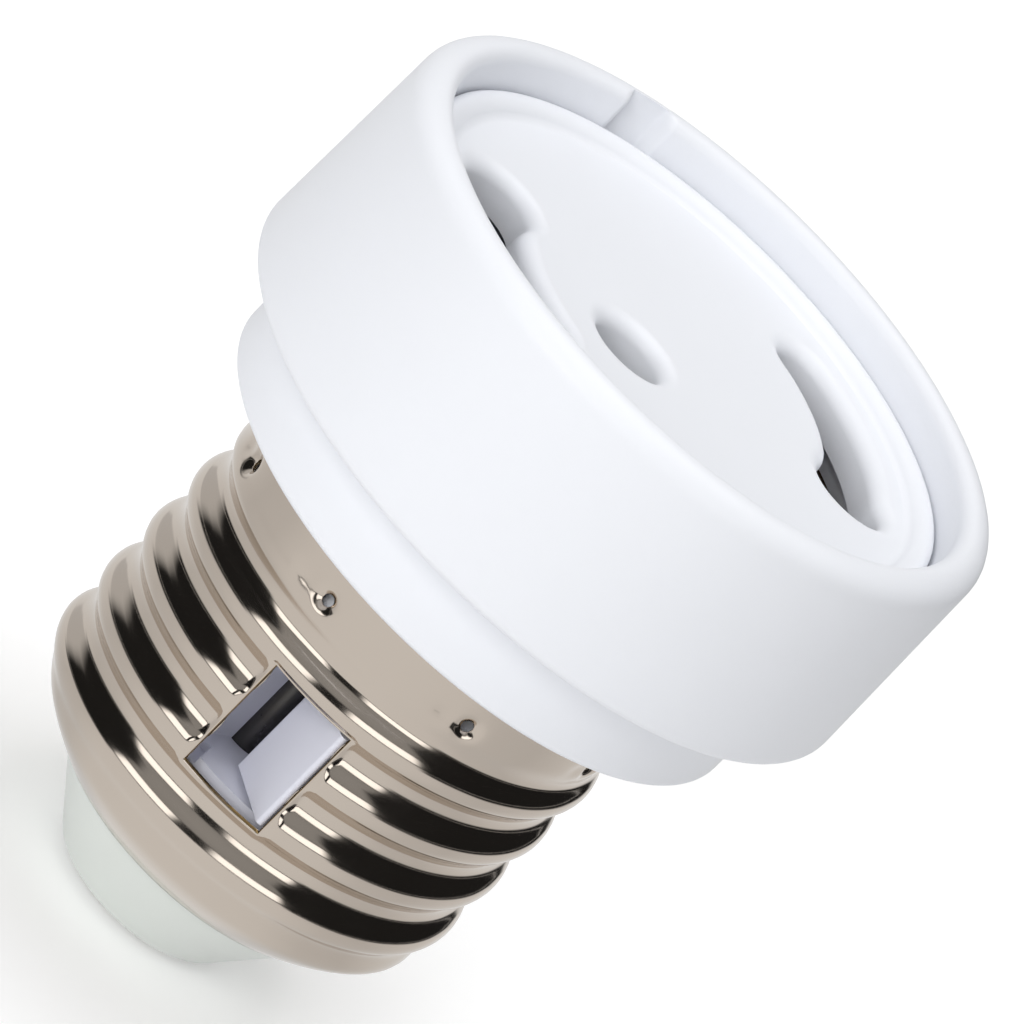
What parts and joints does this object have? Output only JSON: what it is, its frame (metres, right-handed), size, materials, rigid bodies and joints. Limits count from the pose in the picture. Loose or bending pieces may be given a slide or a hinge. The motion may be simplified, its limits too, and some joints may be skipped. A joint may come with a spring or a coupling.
{
  "type": "lamp socket adapter",
  "caption": "Screw-in lamp adapter: a rolled screw shell with an insulated tip contact carries a round white head whose recessed face takes a twist-lock pin lamp; a lock pawl sits in a window.",
  "frame": {"origin": "centre of the tip contact's bottom face, on the axis of the screw base", "axes": "+Z along the axis from the tip contact towards the lamp face, -Y towards the lock window, +X to the right seen from the window side"},
  "size_m": [0.0394, 0.0394, 0.0463],
  "materials": {
    "nickel_plate": "bright nickel plate on rolled brass",
    "tip_moulding": "satin",
    "white_moulding": "satin",
    "core_moulding": "satin",
    "bronze": "rolled spring bronze",
    "steel": "zinc plated",
    "lead_sleeve": "sleeved wire",
    "solder": "solder"
  },
  "bodies": {
    "adapter": {"screw_shell": "nickel_plate", "tip_insulator": "tip_moulding", "centre_contact": "nickel_plate", "contact_washer": "steel", "housing": "white_moulding", "socket_face": "white_moulding", "core_block": "core_moulding", "right_contact": "bronze", "left_contact": "bronze", "right_contact_screw": "steel", "left_contact_screw": "steel", "centre_lead": "lead_sleeve", "shell_lead": "lead_sleeve", "shell_solder": "solder", "lock_washer": "steel"},
    "lock": {"lock_shaft": "steel", "lock_pawl": "core_moulding", "pawl_pin": "steel"}
  },
  "joints": [
    {"name": "lock_turn", "type": "hinge", "parent": "adapter", "child": "lock", "pos_m": [-0.0014, -0.0049, 0.0167], "axis": [0, 0, -1], "range_deg": [0, 28]}
  ]
}
